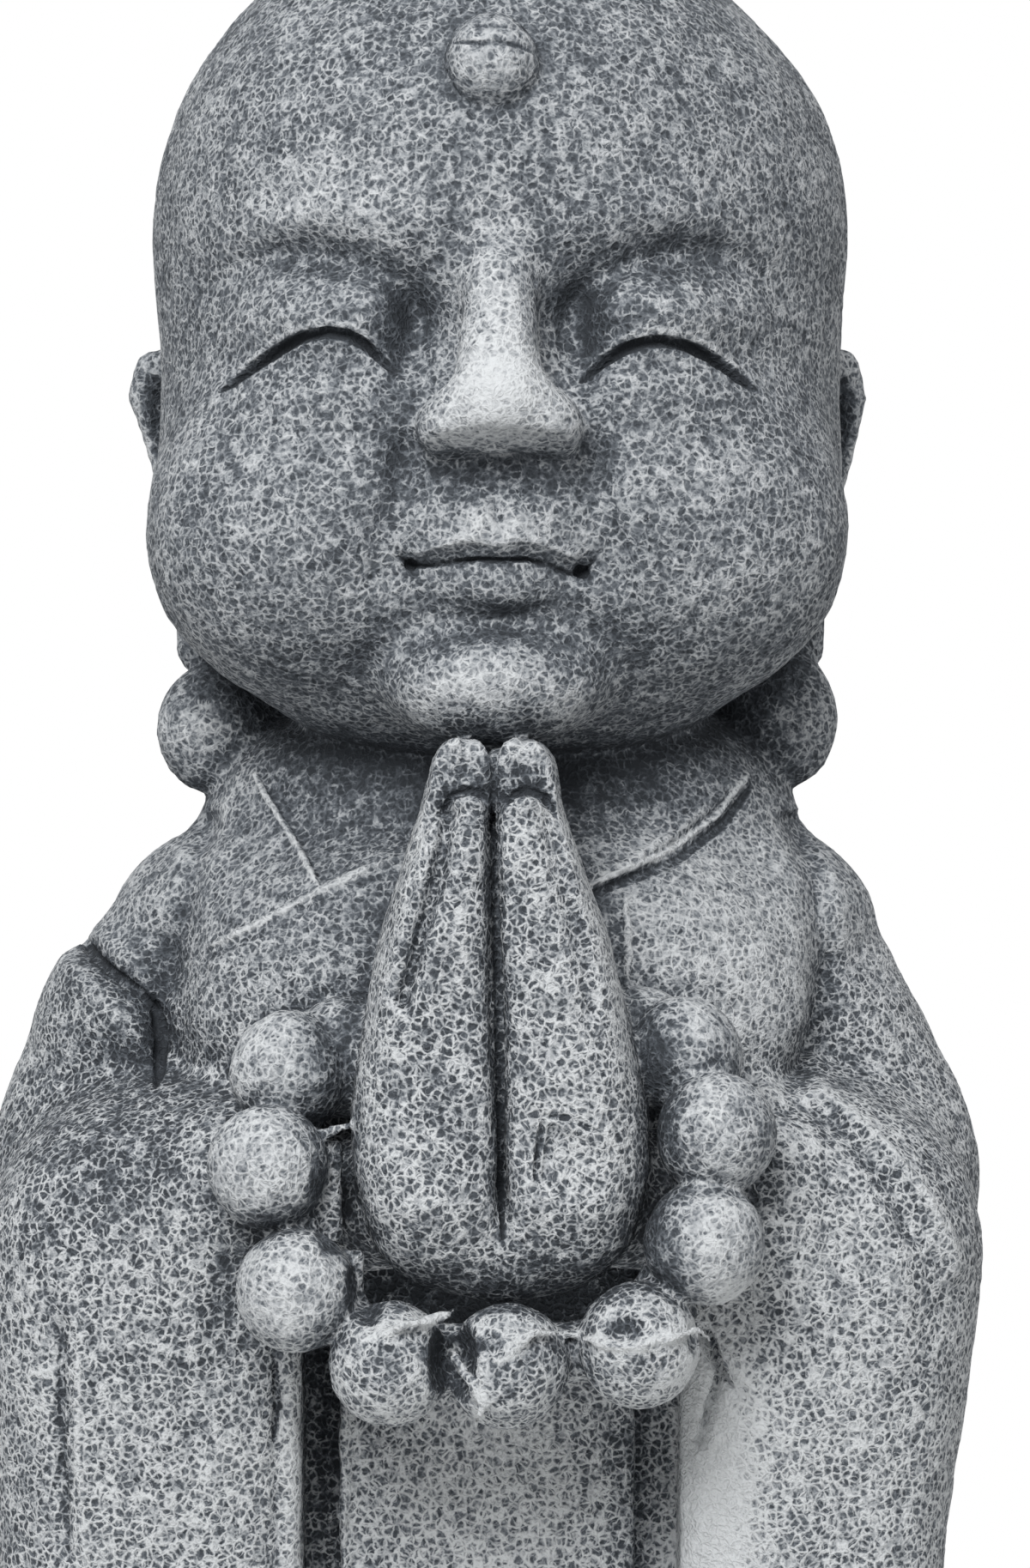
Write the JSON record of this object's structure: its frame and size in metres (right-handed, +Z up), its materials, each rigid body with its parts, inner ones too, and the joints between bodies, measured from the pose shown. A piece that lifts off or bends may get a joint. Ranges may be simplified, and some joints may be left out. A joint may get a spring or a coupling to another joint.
{
  "type": "jizo statue",
  "caption": "Standing child-monk jizo figure in cast stone, palms pressed together, a loop of large prayer beads round the hands, on a low base.",
  "frame": {"origin": "centre of the bounding box in plan, at the flat underside of the base", "axes": "+Z up through the figure; the face looks toward -Y; +X is the viewer's right"},
  "size_m": [0.2894, 0.2384, 0.6156],
  "materials": {
    "cast_stone": "matte"
  },
  "bodies": {
    "root": {"jizo_statue": "cast_stone"}
  },
  "joints": []
}
